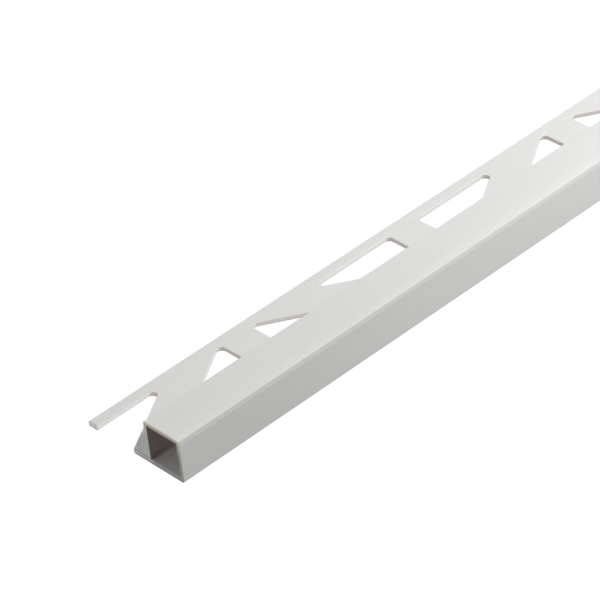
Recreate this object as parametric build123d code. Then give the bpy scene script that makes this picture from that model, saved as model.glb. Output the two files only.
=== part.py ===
from build123d import *

import math
import os

# Square-edge tile trim: one aluminium extrusion, punched and then sawn to length.
# A closed box section stands along one side and covers the edge of the tiling.
# A flat anchoring leg runs out from the foot of the box and is bedded under the
# tiles. A truss of straight and slanted webs is left between its punched holes.
# Sizes are in millimetres. X runs along the trim, Y across it from the box to
# the rim of the leg, and Z is up. The origin is the middle of the underside.

# Driving sizes of the section
length = 2000.0
box_height = 11.0
box_width = 11.0
box_wall = 0.8
leg_width = 19.4  # from the box's tile-side wall to the rim
leg_thickness = 1.2  # of the leg and of the floor of the box
arris_radius = 0.2  # the two upper edges of the box
eased_height = 1.25  # the box's outer face leans inwards over this height below its arris
eased_lean = 0.23
eased_radius = 3.9  # between the upright and the leaning part
crown_width = 2.5  # and its top falls away over this width towards the same arris
crown_drop = 0.16
foot_radius = 0.3  # the lower outer edge of the box
rim_radius = 0.25  # both edges of the rim
root_radius = 0.4  # where the leg meets the box

# Driving sizes of the punched holes, which repeat after four
pattern_repeat = 105.0
pattern_start = 41.0  # from the near sawn end to the middle of the first straight web
straight_web = 9.0
slanted_web = 8.5
rim_strip = 2.9  # left standing along the rim
root_strip = 1.3  # left standing along the box
hole_radius = 1.2  # in every corner of a hole

# Places across the trim
total_width = box_width + leg_width
box_face_y = -total_width / 2
tile_side_y = box_face_y + box_width
rim_y = total_width / 2
hole_root_y = tile_side_y + root_strip
hole_rim_y = rim_y - rim_strip

# Places along the trim
near_end_x = -length / 2
far_end_x = length / 2
half_repeat = pattern_repeat / 2

# Every hole is the same right triangle. Its three corner arcs are drawn about
# the corners of a smaller one, which lies in the grid left by the strips and
# the straight webs. The slant is the one that leaves the slanted web between
# two such triangles that are turned against each other.
corner_rise = hole_rim_y - hole_root_y - 2 * hole_radius
corner_run = half_repeat - straight_web - 2 * hole_radius
corner_web = slanted_web + 2 * hole_radius
slant = math.atan2(corner_rise, corner_run) + math.asin(corner_web / math.hypot(corner_run, corner_rise))
hole_run = corner_rise / math.tan(slant)


def rounded(face, y, z, radius):
    """The face with its corner at one place rounded."""
    corner = face.vertices().sort_by_distance((y, z))[0]
    return fillet(corner, radius)


def section():
    """The extruded section: Y across the trim and Z up, drawn in the flat."""
    arris = (box_face_y + eased_lean, box_height - crown_drop)
    crown_end = (box_face_y + crown_width, box_height)
    straight = Polyline(
        arris,
        (box_face_y, box_height - eased_height),
        (box_face_y, 0),
        (rim_y, 0),
        (rim_y, leg_thickness),
        (tile_side_y, leg_thickness),
        (tile_side_y, box_height),
        crown_end,
    )
    crown = TangentArc(crown_end, arris, tangent=(-1, 0))
    outline = make_face(straight + crown)
    outline = rounded(outline, box_face_y, box_height - eased_height, eased_radius)
    outline = rounded(outline, *arris, arris_radius)
    outline = rounded(outline, tile_side_y, box_height, arris_radius)
    outline = rounded(outline, box_face_y, 0, foot_radius)
    outline = rounded(outline, tile_side_y, leg_thickness, root_radius)
    outline = rounded(outline, rim_y, leg_thickness, rim_radius)
    outline = rounded(outline, rim_y, 0, rim_radius)
    hollow = Rectangle(box_width - 2 * box_wall, box_height - box_wall - leg_thickness)
    hollow_middle = Pos((box_face_y + tile_side_y) / 2, (leg_thickness + box_height - box_wall) / 2)
    return outline - hollow_middle * hollow


def hole_face(web_x, side, wide_at_rim):
    """One punched hole beside the straight web at web_x: side is +1 beyond it and -1 before it."""
    wide_y, tip_y = hole_root_y + hole_radius, hole_rim_y - hole_radius
    if wide_at_rim:
        wide_y, tip_y = tip_y, wide_y
    upright_x = web_x + side * (straight_web / 2 + hole_radius)
    slant_end_x = upright_x + side * hole_run
    corners = Polyline((upright_x, wide_y), (slant_end_x, wide_y), (upright_x, tip_y), close=True)
    return offset(make_face(corners), hole_radius, kind=Kind.ARC)


def hole_reach():
    """How far a hole reaches from the middle of its straight web, with its rounded tip."""
    return straight_web / 2 + hole_run + 2 * hole_radius


def punched_holes():
    """Cutters for every hole that lies on the trim, whole or cut by the saw."""
    cutters = []
    first_web = math.ceil((-pattern_start - hole_reach()) / half_repeat)
    last_web = math.floor((length - pattern_start + hole_reach()) / half_repeat)
    for web in range(first_web, last_web + 1):
        web_x = near_end_x + pattern_start + web * half_repeat
        for side in (-1, 1):
            near_x, far_x = sorted((web_x, web_x + side * hole_reach()))
            if far_x > near_end_x and near_x < far_end_x:
                face = hole_face(web_x, side, wide_at_rim=web % 2 == 1)
                cutters.append(Pos(0, 0, -leg_thickness) * extrude(face, 3 * leg_thickness))
    return cutters


def tile_trim():
    """The whole trim: the extrusion along X with its leg punched."""
    extrusion = Pos(near_end_x, 0, 0) * extrude(Plane.YZ * section(), length)
    return extrusion - punched_holes()


trim = tile_trim()
os.makedirs("parts", exist_ok=True)
export_step(trim, "parts/tile_trim.step")
print(f"slant {math.degrees(slant):.2f} degrees, hole {hole_run:.2f} mm between corner centres")
print(f"volume {trim.volume:.0f} mm3, aluminium {trim.volume * 2.7e-6:.3f} kg, solids {len(trim.solids())}")
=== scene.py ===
import math

import bmesh
import bpy
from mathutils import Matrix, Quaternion, Vector


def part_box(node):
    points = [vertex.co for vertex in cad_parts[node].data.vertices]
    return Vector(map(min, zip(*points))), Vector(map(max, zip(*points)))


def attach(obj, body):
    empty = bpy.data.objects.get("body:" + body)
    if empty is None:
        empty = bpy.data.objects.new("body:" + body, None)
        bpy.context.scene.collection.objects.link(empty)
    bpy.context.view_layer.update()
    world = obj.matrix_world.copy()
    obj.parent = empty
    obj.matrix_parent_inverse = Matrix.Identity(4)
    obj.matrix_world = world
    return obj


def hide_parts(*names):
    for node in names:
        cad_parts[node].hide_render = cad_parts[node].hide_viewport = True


# A white square-edge tile trim: an aluminium extrusion that is powder coated, then
# punched and sawn to length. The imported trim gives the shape. Here its holes and sawn
# ends get their rolled and broken edges, and every surface gets its finish.
# X runs along the trim, Y across it from the box to the rim of the leg, Z is up.
MM = 0.001

# Sizes of the real trim, in millimetres
BOX_WIDTH = 11.0
BOX_WALL = 0.8
LEG_THICKNESS = 1.2
FIRST_WEB = 41.0  # from the near end to the middle of the first straight web
WEB_STEP = 52.5  # to the next one
DIE_ROLL = 0.12  # how far the punch draws a hole's upper edge down
ROLL_STEPS = 3
ROLL_FULLNESS = 0.38  # of the roll's section: 0.25 is a straight chamfer, 0.5 a quarter round
SHEAR_BURR = 0.15  # the broken lower edge of a hole
SAW_BREAK = 0.18  # the edge of a saw cut is broken over this width
SAW_SET_BACK = 0.12  # and as deep as this
ROUNDED_ZONE = 0.5  # wide enough for the rim's rounded edges and the fillet where the leg meets the box
ARRIS_ZONE = 0.4  # high enough for the box's upper edges

# Limits for telling faces and places apart
TOUCH = 0.002 * MM  # closer than this, two places are the same
FLAT = math.radians(0.5)  # faces turned less than this against each other are one plane
TRULY_FLAT = math.radians(0.05)  # and these may share out their plane among them anew
SQUARE_ON = 0.999  # of a unit normal: its face is square to that axis
EDGE_ON = 0.01  # of a unit normal: its face runs along that axis

# The order of the finishes on the trim
COATED, MILL_FINISHED, SAWN, PUNCHED, BROKEN = range(5)

# Sizes of the finishes' patterns, in millimetres
ORANGE_PEEL = 1.8  # from wave to wave of the powder coat
PEEL_DEPTH = 0.006
POWDER_GRIT = 0.35  # in its gloss; the real grit, at 0.1, is too fine to show
TONE_DRIFT = 15.0  # slow changes of the coat's tone, across the trim
TONE_LENGTH = 3.0  # times as long along it
COAT_STAIN = 0.3  # how far the coat is stained beside a saw cut
DIE_LINE = 0.35  # between the lines that the die drew inside
DIE_LINE_LENGTH = 250.0  # times as long, along the trim
DIE_LINE_DEPTH = 0.004
WALL_SHADE_GAP = 0.3  # the pale dusting on the box's floor stops this far from the tile-side wall, leaving painted shade along the wall's foot
WALL_SHADE_FADE = 0.5  # and thins out over this width before that, the painted shade's soft edge
CUT_SOILING = 8.0  # how far the inside is soiled behind a saw cut
SAW_MARK = 0.3  # between saw marks; real ones, at 0.12, are too fine to show
SAW_MARK_LENGTH = 12.5  # times as long
SAW_MARK_DEPTH = 0.012
SAW_SLANT = math.radians(24)  # of the marks against the leg
TOP_LIGHT_FROM = 6.0  # above the floor, where the cut begins to turn lighter and beige: painted light above, painted shade below
TOP_LIGHT_FULL = 10.2  # and where it is wholly lighter beige
FOOT_SHADE_WIDTH = 2.0  # painted shade dulls the cut over this width towards the foot of the box
FOOT_SHADE_HEIGHT = 0.6  # and over this height down to the leg's top
BURNISH = 0.25  # between the punch's streaks in a hole's wall; real ones, at 0.1, are too fine to show
BURNISH_LENGTH = 10.0  # times as long, upwards
BURNISH_DEPTH = 0.006
SHEAR_HEIGHT = 0.5  # below this a hole's wall is torn, above it burnished
SHEAR_FADE = 0.1

# How the finishes shine
NOISE_LOW, NOISE_HIGH = 0.3, 0.7  # nearly all of a noise lies between these
POWDER_IOR = 1.5  # of the polyester
COAT_ROUGHNESS = (0.38, 0.48)
BROKEN_ROUGHNESS = 0.6
MILL_METALLIC = 0.4  # its dull oxide hides the rest
MILL_ROUGHNESS = (0.5, 0.64)
SAWN_METALLIC = 0.7
SAWN_ROUGHNESS = (0.38, 0.5)
PUNCHED_METALLIC = 0.8
BURNISHED_ROUGHNESS, TORN_ROUGHNESS = 0.35, 0.5
SOILING = 0.5  # of the inside's colour, at the very cut
UPWARDS = (0.5, 0.9)  # Z of the normal, from no dust to all of it
SHADED_FACING = (-0.8, -0.1)  # X of the normal, from a hole wall in painted shade to an unshaded one

# Settings of nodes
OF_COLOURS = {"data_type": "RGBA"}
TIMES = {"operation": "MULTIPLY"}
LARGER = {"operation": "MAXIMUM"}
WITHOUT_SIGN = {"operation": "ABSOLUTE"}

# Colours, as sRGB
COAT_WHITE = "#DFDFDD"
COAT_PALE = "#E2E2E0"
COAT_BY_CUT = "#B3A98F"
MILL_LIGHT = "#E6DAD8"
MILL_DARK = "#DACECC"
MILL_DUST = "#EEEEEB"
MILL_BY_CUT = "#868482"
# Colours of the cut, with painted light in them: shade by the box and low at its foot, light by the rim, a
# lighter beige top
SAWN_SHADED_SIDE = "#9C9B9D"
SAWN_LIT_SIDE = "#E9E3E3"
SAWN_LIT_BEIGE_TOP = "#C6C1B5"
SAWN_FOOT_SHADE = "#9D9C9E"
BROKEN_EDGE = "#A0967F"
PUNCH_BRIGHT = "#F2F0EE"
PUNCH_TORN = "#ECE9E8"
PUNCH_SHADED = "#C8BEB9"
FLOOR_GREY = "#8A8A8A"
PURE_WHITE = "#FFFFFF"

# The studio, its sizes in millimetres
FLOOR_REACH = 20000.0
FLOOR_SEEN = 0.85  # this share of the floor glows for the camera, and the rest keeps the trim's shadow
FLOOR_MIRRORED = 0.7  # and this share where it shows in gloss and metal
FLOOR_GLOW = 1.16  # makes the two shares together white
SURROUND = 0.01
STRIP_FROM = 150.0  # along the trim from its near end
STRIP_TO = 450.0
STRIP_BREADTH = 50.0
STRIP_DISTANCE = 300.0  # from the middle line of the trim's underside

# The camera of the photograph, in millimetres from the near lower edge of the box
CAMERA_PLACE = (-323.70, -427.77, 438.66)
CAMERA_AIM = (50.59, 15.68, 11.0)
CAMERA_ROLL = math.radians(-6.63)
CAMERA_LENS = 198.13
SENSOR = 36.0


def linear(colour):
    """An sRGB hex colour as linear red, green, blue and alpha."""
    levels = [int(colour[i : i + 2], 16) / 255 for i in (1, 3, 5)]
    return [c / 12.92 if c <= 0.04045 else ((c + 0.055) / 1.055) ** 2.4 for c in levels] + [1.0]


def add_node(tree, kind, settings=None, **inputs):
    """Adds a node. Each input goes by its socket's identifier, with _ for a space, and is a value, a hex
    colour, or a socket or another node to link from."""
    node = tree.nodes.new("ShaderNode" + kind)
    for name, value in (settings or {}).items():
        setattr(node, name, value)
    for name, value in inputs.items():
        socket = next(s for s in node.inputs if s.identifier.replace(" ", "_") == name)
        if isinstance(value, bpy.types.Node):
            value = next(s for s in value.outputs if s.enabled)
        if isinstance(value, bpy.types.NodeSocket):
            tree.links.new(value, socket)
        else:
            socket.default_value = linear(value) if isinstance(value, str) else value
    return node


def waves(size, longer=(1, 1, 1)):
    """A pattern's scale: waves of this size in millimetres, this many times longer along each axis."""
    return [1 / (size * MM * times) for times in longer]


def new_material(name):
    """An empty material and its tree."""
    material = bpy.data.materials.new(name)
    material.use_nodes = True
    material.node_tree.nodes.clear()
    return material, material.node_tree


def powder_coated_aluminium(high):
    """Baked polyester powder: an even satin white with a faint orange peel, stained along a saw cut."""
    material, tree = new_material("powder_coated_aluminium")
    places = add_node(tree, "TexCoord").outputs["Object"]

    wide = add_node(tree, "Mapping", Vector=places, Scale=waves(TONE_DRIFT, (TONE_LENGTH, 1, 1)))
    drift = add_node(tree, "TexNoise", Vector=wide, Scale=1.0)
    tone = add_node(tree, "MapRange", Value=drift, From_Min=NOISE_LOW, From_Max=NOISE_HIGH)
    clean = add_node(tree, "Mix", OF_COLOURS, Factor_Float=tone, A_Color=COAT_WHITE, B_Color=COAT_PALE)

    apart = add_node(tree, "SeparateXYZ", Vector=places)
    along = add_node(tree, "Math", WITHOUT_SIGN, Value=apart.outputs["X"])
    by_cut = add_node(tree, "MapRange", Value=along, From_Min=high.x - COAT_STAIN * MM, From_Max=high.x)
    colour = add_node(tree, "Mix", OF_COLOURS, Factor_Float=by_cut, A_Color=clean, B_Color=COAT_BY_CUT)

    fine = add_node(tree, "Mapping", Vector=places, Scale=waves(POWDER_GRIT))
    grit = add_node(tree, "TexNoise", Vector=fine, Scale=1.0)
    satin = add_node(
        tree, "MapRange", Value=grit, From_Min=NOISE_LOW, From_Max=NOISE_HIGH,
        To_Min=COAT_ROUGHNESS[0], To_Max=COAT_ROUGHNESS[1],
    )

    coarse = add_node(tree, "Mapping", Vector=places, Scale=waves(ORANGE_PEEL))
    peel = add_node(tree, "TexNoise", Vector=coarse, Scale=1.0)
    skin = add_node(tree, "Bump", Height=peel, Distance=PEEL_DEPTH * MM)

    shader = add_node(
        tree, "BsdfPrincipled", Base_Color=colour, Roughness=satin, IOR=POWDER_IOR, Normal=skin,
    )
    add_node(tree, "OutputMaterial", Surface=shader)
    return material


def mill_finish_aluminium(low, high):
    """The bare inside of the extrusion: dull metal with the lines that the die drew along it, and a pale
    dusting on its floor, both soiled behind a cut; the dusting stops short of the tile-side wall as painted
    shade."""
    material, tree = new_material("mill_finish_aluminium")
    places = add_node(tree, "TexCoord").outputs["Object"]
    apart = add_node(tree, "SeparateXYZ", Vector=places)

    drawn = add_node(tree, "Mapping", Vector=places, Scale=waves(DIE_LINE, (DIE_LINE_LENGTH, 1, 1)))
    lines = add_node(tree, "TexNoise", Vector=drawn, Scale=1.0, Detail=3.0)
    tone = add_node(tree, "MapRange", Value=lines, From_Min=NOISE_LOW, From_Max=NOISE_HIGH)
    metal = add_node(tree, "Mix", OF_COLOURS, Factor_Float=tone, A_Color=MILL_DARK, B_Color=MILL_LIGHT)

    facing = add_node(tree, "SeparateXYZ", Vector=add_node(tree, "NewGeometry").outputs["Normal"])
    level = add_node(
        tree, "MapRange", Value=facing.outputs["Z"], From_Min=UPWARDS[0], From_Max=UPWARDS[1],
    )
    # Painted shade: the dusting stops short of the tile-side wall, so the floor along the wall's foot stays
    # darker.
    wall_shade_start = low.y + (BOX_WIDTH - BOX_WALL - WALL_SHADE_GAP) * MM
    clear_of_wall_shade = add_node(
        tree, "MapRange", Value=apart.outputs["Y"], From_Min=wall_shade_start - WALL_SHADE_FADE * MM, From_Max=wall_shade_start,
        To_Min=1.0, To_Max=0.0,
    )
    dust_and_wall_shade = add_node(tree, "Math", TIMES, Value=level, Value_001=clear_of_wall_shade)
    dusty_with_wall_shade = add_node(tree, "Mix", OF_COLOURS, Factor_Float=dust_and_wall_shade, A_Color=metal, B_Color=MILL_DUST)

    along = add_node(tree, "Math", WITHOUT_SIGN, Value=apart.outputs["X"])
    by_cut = add_node(
        tree, "MapRange", Value=along, From_Min=high.x - CUT_SOILING * MM, From_Max=high.x,
        To_Max=SOILING,
    )
    colour = add_node(tree, "Mix", OF_COLOURS, Factor_Float=by_cut, A_Color=dusty_with_wall_shade, B_Color=MILL_BY_CUT)

    bare = add_node(tree, "MapRange", Value=dust_and_wall_shade, To_Min=MILL_METALLIC, To_Max=0.0)
    gloss = add_node(
        tree, "MapRange", Value=lines, From_Min=NOISE_LOW, From_Max=NOISE_HIGH,
        To_Min=MILL_ROUGHNESS[0], To_Max=MILL_ROUGHNESS[1],
    )
    skin = add_node(tree, "Bump", Height=lines, Distance=DIE_LINE_DEPTH * MM)
    shader = add_node(
        tree, "BsdfPrincipled", Base_Color=colour, Metallic=bare, Roughness=gloss, Normal=skin,
    )
    add_node(tree, "OutputMaterial", Surface=shader)
    return material


def sawn_aluminium(low, high):
    """The bare metal that the saw laid open, with its slanting marks, and light painted on it: painted
    shade towards the box and low at its foot, and painted light towards the rim and, in beige, near the
    top."""
    material, tree = new_material("sawn_aluminium")
    places = add_node(tree, "TexCoord").outputs["Object"]
    apart = add_node(tree, "SeparateXYZ", Vector=places)

    # Painted shade towards the box and painted light towards the rim, across the cut.
    across = add_node(tree, "MapRange", Value=apart.outputs["Y"], From_Min=low.y, From_Max=high.y)
    bare = add_node(tree, "Mix", OF_COLOURS, Factor_Float=across, A_Color=SAWN_SHADED_SIDE, B_Color=SAWN_LIT_SIDE)

    # Painted shade low on the box's cut, near the floor.
    tile_side = low.y + BOX_WIDTH * MM
    in_box = add_node(
        tree, "MapRange", Value=apart.outputs["Y"], From_Min=tile_side - FOOT_SHADE_WIDTH * MM,
        From_Max=tile_side, To_Min=1.0, To_Max=0.0,
    )
    leg_top = low.z + LEG_THICKNESS * MM
    downwards = add_node(
        tree, "MapRange", Value=apart.outputs["Z"], From_Min=leg_top, From_Max=leg_top + FOOT_SHADE_HEIGHT * MM,
        To_Min=1.0, To_Max=0.0,
    )
    shade_at_foot = add_node(tree, "Math", TIMES, Value=in_box, Value_001=downwards)
    metal = add_node(tree, "Mix", OF_COLOURS, Factor_Float=shade_at_foot, A_Color=bare, B_Color=SAWN_FOOT_SHADE)

    # Painted light: the cut turns lighter and beige towards the top, and stays darker near the floor.
    at_top = add_node(
        tree, "MapRange", Value=apart.outputs["Z"], From_Min=low.z + TOP_LIGHT_FROM * MM,
        From_Max=low.z + TOP_LIGHT_FULL * MM,
    )
    colour = add_node(tree, "Mix", OF_COLOURS, Factor_Float=at_top, A_Color=metal, B_Color=SAWN_LIT_BEIGE_TOP)

    turned = add_node(tree, "Mapping", Vector=places, Rotation=(SAW_SLANT, 0, 0))
    drawn = add_node(tree, "Mapping", Vector=turned, Scale=waves(SAW_MARK, (1, SAW_MARK_LENGTH, 1)))
    marks = add_node(tree, "TexNoise", Vector=drawn, Scale=1.0, Detail=3.0)
    gloss = add_node(
        tree, "MapRange", Value=marks, From_Min=NOISE_LOW, From_Max=NOISE_HIGH,
        To_Min=SAWN_ROUGHNESS[0], To_Max=SAWN_ROUGHNESS[1],
    )
    skin = add_node(tree, "Bump", Height=marks, Distance=SAW_MARK_DEPTH * MM)
    shader = add_node(
        tree, "BsdfPrincipled", Base_Color=colour, Metallic=SAWN_METALLIC, Roughness=gloss, Normal=skin,
    )
    add_node(tree, "OutputMaterial", Surface=shader)
    return material


def punched_aluminium(low):
    """The wall of a punched hole: burnished by the punch above, torn below, in painted shade where it faces
    back.
    """
    material, tree = new_material("punched_aluminium")
    places = add_node(tree, "TexCoord").outputs["Object"]

    apart = add_node(tree, "SeparateXYZ", Vector=places)
    torn = add_node(
        tree, "MapRange", Value=apart.outputs["Z"], From_Min=low.z + (SHEAR_HEIGHT - SHEAR_FADE) * MM,
        From_Max=low.z + (SHEAR_HEIGHT + SHEAR_FADE) * MM, To_Min=1.0, To_Max=0.0,
    )
    bare = add_node(tree, "Mix", OF_COLOURS, Factor_Float=torn, A_Color=PUNCH_BRIGHT, B_Color=PUNCH_TORN)

    # Painted shade on hole walls that face back, towards the near end.
    facing = add_node(tree, "SeparateXYZ", Vector=add_node(tree, "NewGeometry").outputs["Normal"])
    wall_shade_facing_back = add_node(
        tree, "MapRange", Value=facing.outputs["X"], From_Min=SHADED_FACING[0], From_Max=SHADED_FACING[1],
        To_Min=1.0, To_Max=0.0,
    )
    colour = add_node(tree, "Mix", OF_COLOURS, Factor_Float=wall_shade_facing_back, A_Color=bare, B_Color=PUNCH_SHADED)

    gloss = add_node(tree, "MapRange", Value=torn, To_Min=BURNISHED_ROUGHNESS, To_Max=TORN_ROUGHNESS)
    drawn = add_node(tree, "Mapping", Vector=places, Scale=waves(BURNISH, (1, 1, BURNISH_LENGTH)))
    streaks = add_node(tree, "TexNoise", Vector=drawn, Scale=1.0)
    skin = add_node(tree, "Bump", Height=streaks, Distance=BURNISH_DEPTH * MM)
    shader = add_node(
        tree, "BsdfPrincipled", Base_Color=colour, Metallic=PUNCHED_METALLIC, Roughness=gloss,
        Normal=skin,
    )
    add_node(tree, "OutputMaterial", Surface=shader)
    return material


def broken_edge():
    """The coat's edge where the saw broke it: matt beige powder, smeared over the metal."""
    material, tree = new_material("broken_coat_edge")
    shader = add_node(
        tree, "BsdfPrincipled", Base_Color=BROKEN_EDGE, Roughness=BROKEN_ROUGHNESS, IOR=POWDER_IOR,
    )
    add_node(tree, "OutputMaterial", Surface=shader)
    return material


def hole_edges(bm, height, ends):
    """The edges where the walls of the punched holes meet the leg's face at this height."""
    chosen = []
    for edge in bm.edges:
        first, second = (face.normal for face in edge.link_faces)
        level, wall = (first, second) if abs(first.z) > abs(second.z) else (second, first)
        at_height = all(abs(v.co.z - height) < TOUCH for v in edge.verts)
        sawn = any(abs(wall.x) > SQUARE_ON and abs(edge.verts[0].co.x - x) < TOUCH for x in ends)
        if at_height and abs(level.z) > SQUARE_ON and abs(wall.z) < EDGE_ON and not sawn:
            chosen.append(edge)
    return chosen


def soften(bm, edges, size, steps, fullness=0.5):
    """Rounds these edges by this size, in metres."""
    bmesh.ops.bevel(
        bm, geom=edges, offset=size, offset_type="OFFSET", segments=steps, profile=fullness,
        affect="EDGES", clamp_overlap=False,
    )


def work_hole_edges(bm, low, high):
    """Rolls the upper edges of the holes down and breaks the lower ones, as a punch does."""
    ends = (low.x, high.x)
    leg_top = low.z + LEG_THICKNESS * MM
    soften(bm, hole_edges(bm, leg_top, ends), DIE_ROLL * MM, ROLL_STEPS, ROLL_FULLNESS)
    for edge in bm.edges:
        if all(abs(v.co.z - leg_top + DIE_ROLL * MM) < TOUCH for v in edge.verts):
            edge.smooth = False
    soften(bm, hole_edges(bm, low.z, ends), SHEAR_BURR * MM, 1)


def choose_finishes(bm, low, high):
    """Gives each face its finish: coated, unless it is in the box, on a saw cut or in a hole's wall."""
    box_low, box_high = low.y + TOUCH, low.y + BOX_WIDTH * MM - TOUCH
    leg_low, leg_high = low.y + (BOX_WIDTH + ROUNDED_ZONE) * MM, high.y - ROUNDED_ZONE * MM
    middle_of_box = Vector((0, low.y + BOX_WIDTH * MM / 2, (low.z + high.z) / 2))
    for face in bm.faces:
        middle = face.calc_center_median()
        inwards = middle_of_box - Vector((0, middle.y, middle.z))
        on_cut = any(abs(middle.x - x) < TOUCH for x in (low.x, high.x))
        within_box = box_low < middle.y < box_high and low.z + TOUCH < middle.z < high.z - TOUCH
        face.smooth = not on_cut
        if on_cut:
            face.material_index = SAWN
        elif within_box and face.normal.dot(inwards) > 0:
            face.material_index = MILL_FINISHED
        elif not within_box and leg_low < middle.y < leg_high and abs(face.normal.z) < EDGE_ON:
            face.material_index = PUNCHED
        else:
            face.material_index = COATED


def work_saw_cuts(bm, low, high):
    """Breaks every edge round both saw cuts; along the box's top and outer side powder is smeared on it."""
    hollow_reach = (BOX_WIDTH / 2 - BOX_WALL + SAW_BREAK) * MM
    middle_of_box = low.y + BOX_WIDTH * MM / 2
    for end_x, inwards in ((low.x, 1), (high.x, -1)):
        cut = [face for face in bm.faces if abs(face.calc_center_median().x - end_x) < TOUCH]
        outline = [
            edge for face in cut for edge in face.edges
            if sum(beside in cut for beside in edge.link_faces) == 1
        ]
        rim = {v for edge in outline for v in edge.verts}
        ring = bmesh.ops.inset_region(
            bm, faces=cut, thickness=SAW_BREAK * MM, use_even_offset=True, use_boundary=True,
        )["faces"]
        for v in rim:
            v.co.x += inwards * SAW_SET_BACK * MM
        for face in ring:
            across = face.calc_center_median().y - middle_of_box
            at_top = face.calc_center_median().z > high.z - ARRIS_ZONE * MM
            smeared = across < -hollow_reach or (at_top and across < hollow_reach)
            face.material_index = BROKEN if smeared else SAWN
            face.smooth = False


def divide_at_webs(bm, low, high):
    """Divides the faces at the middle of every straight web, so that none runs the length of the trim."""
    for web in range(int((high.x - low.x - FIRST_WEB * MM) / (WEB_STEP * MM)) + 1):
        bmesh.ops.bisect_plane(
            bm, geom=bm.verts[:] + bm.edges[:] + bm.faces[:], dist=TOUCH,
            plane_co=(low.x + (FIRST_WEB + WEB_STEP * web) * MM, 0, 0), plane_no=(1, 0, 0),
        )


def even_out_triangles(bm):
    """Turns the edges inside flat faces, so that no triangle is drawn out to a sliver."""
    bmesh.ops.triangulate(bm, faces=[face for face in bm.faces if len(face.verts) > 4])
    inner = [
        edge for edge in bm.edges
        if all(len(face.verts) == 3 for face in edge.link_faces)
        and edge.calc_face_angle(1.0) < TRULY_FLAT
        and len({face.material_index for face in edge.link_faces}) == 1
    ]
    beside = list(dict.fromkeys(face for edge in inner for face in edge.link_faces))
    bmesh.ops.beautify_fill(bm, faces=beside, edges=inner)


def coated_trim(node, low, high, finishes):
    """The trim as it is seen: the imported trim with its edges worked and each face's finish set."""
    bm = bmesh.new()
    bm.from_mesh(node.data)
    bmesh.ops.remove_doubles(bm, verts=bm.verts, dist=TOUCH / 2)
    bmesh.ops.dissolve_limit(bm, angle_limit=FLAT, verts=bm.verts, edges=bm.edges)
    work_hole_edges(bm, low, high)
    choose_finishes(bm, low, high)
    work_saw_cuts(bm, low, high)
    divide_at_webs(bm, low, high)
    even_out_triangles(bm)
    mesh = bpy.data.meshes.new("coated_trim")
    bm.to_mesh(mesh)
    bm.free()
    for material in finishes:
        mesh.materials.append(material)
    piece = bpy.data.objects.new("coated_trim", mesh)
    bpy.context.scene.collection.objects.link(piece)
    evened = piece.modifiers.new("flat faces stay flat", "WEIGHTED_NORMAL")
    evened.keep_sharp = True
    return piece


def studio_floor(low):
    """A matt grey floor for the light, shown as a white one that keeps a trace of the trim's shadow."""
    material, tree = new_material("white_floor")
    sight = add_node(tree, "LightPath").outputs
    seen = add_node(tree, "Math", TIMES, Value=sight["Is Camera Ray"], Value_001=FLOOR_SEEN)
    mirrored = add_node(
        tree, "Math", TIMES, Value=sight["Is Glossy Ray"], Value_001=FLOOR_MIRRORED,
    )
    share = add_node(tree, "Math", LARGER, Value=seen, Value_001=mirrored)
    paint = add_node(tree, "BsdfDiffuse", Color=FLOOR_GREY)
    glow = add_node(tree, "Emission", Color=PURE_WHITE, Strength=FLOOR_GLOW)
    shown = add_node(tree, "MixShader", Fac=share, Shader=paint, Shader_001=glow)
    add_node(tree, "OutputMaterial", Surface=shown)
    mesh = bpy.data.meshes.new("floor")
    reach = FLOOR_REACH * MM
    corners = [(-reach, -reach), (reach, -reach), (reach, reach), (-reach, reach)]
    mesh.from_pydata([(x, y, low.z) for x, y in corners], [], [(0, 1, 2, 3)])
    mesh.materials.append(material)
    floor = bpy.data.objects.new("floor", mesh)
    bpy.context.scene.collection.objects.link(floor)


def studio_world():
    """A dim even surround, white where it is seen."""
    world = bpy.data.worlds.new("studio")
    bpy.context.scene.world = world
    world.use_nodes = True
    tree = world.node_tree
    tree.nodes.clear()
    sight = add_node(tree, "LightPath").outputs
    around = add_node(tree, "Background", Color=PURE_WHITE, Strength=SURROUND)
    white = add_node(tree, "Background", Color=PURE_WHITE, Strength=1.0)
    shown = add_node(tree, "MixShader", Fac=sight["Is Camera Ray"], Shader=around, Shader_001=white)
    add_node(tree, "OutputWorld", Surface=shown)


def sun(name, azimuth, elevation, strength, softness):
    """A far soft lamp. Azimuth is where its light comes from, 0 for -Y and 90 for +X, all in degrees."""
    lamp = bpy.data.lights.new(name, "SUN")
    lamp.energy = strength
    lamp.angle = math.radians(softness)
    holder = bpy.data.objects.new(name, lamp)
    bpy.context.scene.collection.objects.link(holder)
    turn, rise = math.radians(azimuth), math.radians(elevation)
    towards = Vector((math.sin(turn) * math.cos(rise), -math.cos(turn) * math.cos(rise), math.sin(rise)))
    holder.rotation_mode = "QUATERNION"
    holder.rotation_quaternion = towards.to_track_quat("Z", "Y")


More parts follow.
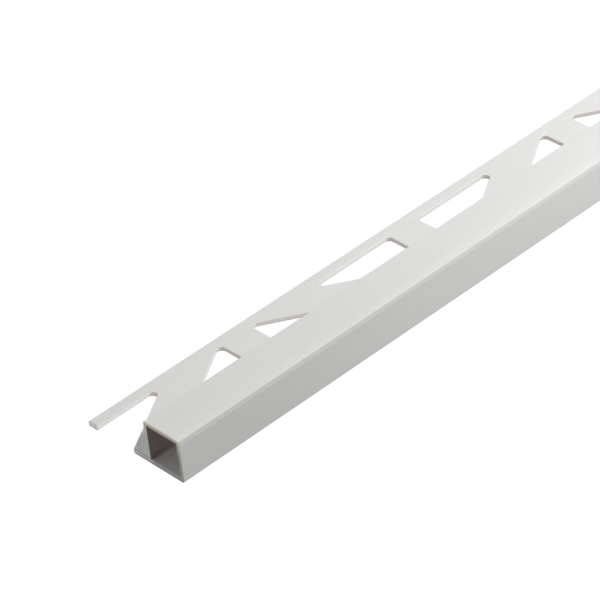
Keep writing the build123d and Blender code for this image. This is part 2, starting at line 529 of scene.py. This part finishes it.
def strip_lamp(name, near_end, elevation, power):
    """A long soft lamp beside the trim. Elevation 0 is level with it on the -Y side, 90 overhead."""
    lamp = bpy.data.lights.new(name, "AREA")
    lamp.shape = "RECTANGLE"
    lamp.size, lamp.size_y = (STRIP_TO - STRIP_FROM) * MM, STRIP_BREADTH * MM
    lamp.energy = power
    holder = bpy.data.objects.new(name, lamp)
    bpy.context.scene.collection.objects.link(holder)
    rise = math.radians(elevation)
    middle, distance = near_end + (STRIP_FROM + STRIP_TO) / 2 * MM, STRIP_DISTANCE * MM
    holder.location = (middle, -distance * math.cos(rise), distance * math.sin(rise))
    holder.rotation_euler = (math.pi / 2 - rise, 0, 0)


def camera_of_photo(near_corner):
    """The camera that saw the photograph."""
    lens = bpy.data.cameras.new("camera")
    lens.sensor_width = SENSOR
    lens.lens = CAMERA_LENS
    camera = bpy.data.objects.new("camera", lens)
    bpy.context.scene.collection.objects.link(camera)
    camera.location = near_corner + Vector(CAMERA_PLACE) * MM
    ahead = near_corner + Vector(CAMERA_AIM) * MM - camera.location
    camera.rotation_mode = "QUATERNION"
    camera.rotation_quaternion = ahead.to_track_quat("-Z", "Y") @ Quaternion((0, 0, 1), CAMERA_ROLL)
    bpy.context.scene.camera = camera


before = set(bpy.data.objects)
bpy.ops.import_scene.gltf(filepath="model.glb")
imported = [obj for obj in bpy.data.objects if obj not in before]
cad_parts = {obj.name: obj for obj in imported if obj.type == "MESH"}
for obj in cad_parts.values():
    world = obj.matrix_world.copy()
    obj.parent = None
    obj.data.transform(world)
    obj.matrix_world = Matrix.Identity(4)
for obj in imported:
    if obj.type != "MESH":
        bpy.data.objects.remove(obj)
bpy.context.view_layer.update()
low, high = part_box("tile_trim")

finishes = [
    powder_coated_aluminium(high), mill_finish_aluminium(low, high), sawn_aluminium(low, high),
    punched_aluminium(low), broken_edge(),
]
trim = coated_trim(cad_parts["tile_trim"], low, high, finishes)
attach(trim, "root")
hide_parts("tile_trim")

studio_floor(low)
studio_world()
sun("key", azimuth=20, elevation=50, strength=1.04, softness=8)
sun("left", azimuth=180, elevation=55, strength=0.9, softness=60)
sun("front", azimuth=272, elevation=30, strength=0.75, softness=75)
strip_lamp("right, farther on", low.x, elevation=50, power=0.946)
camera_of_photo(low)
bpy.context.scene.view_settings.view_transform = "Standard"
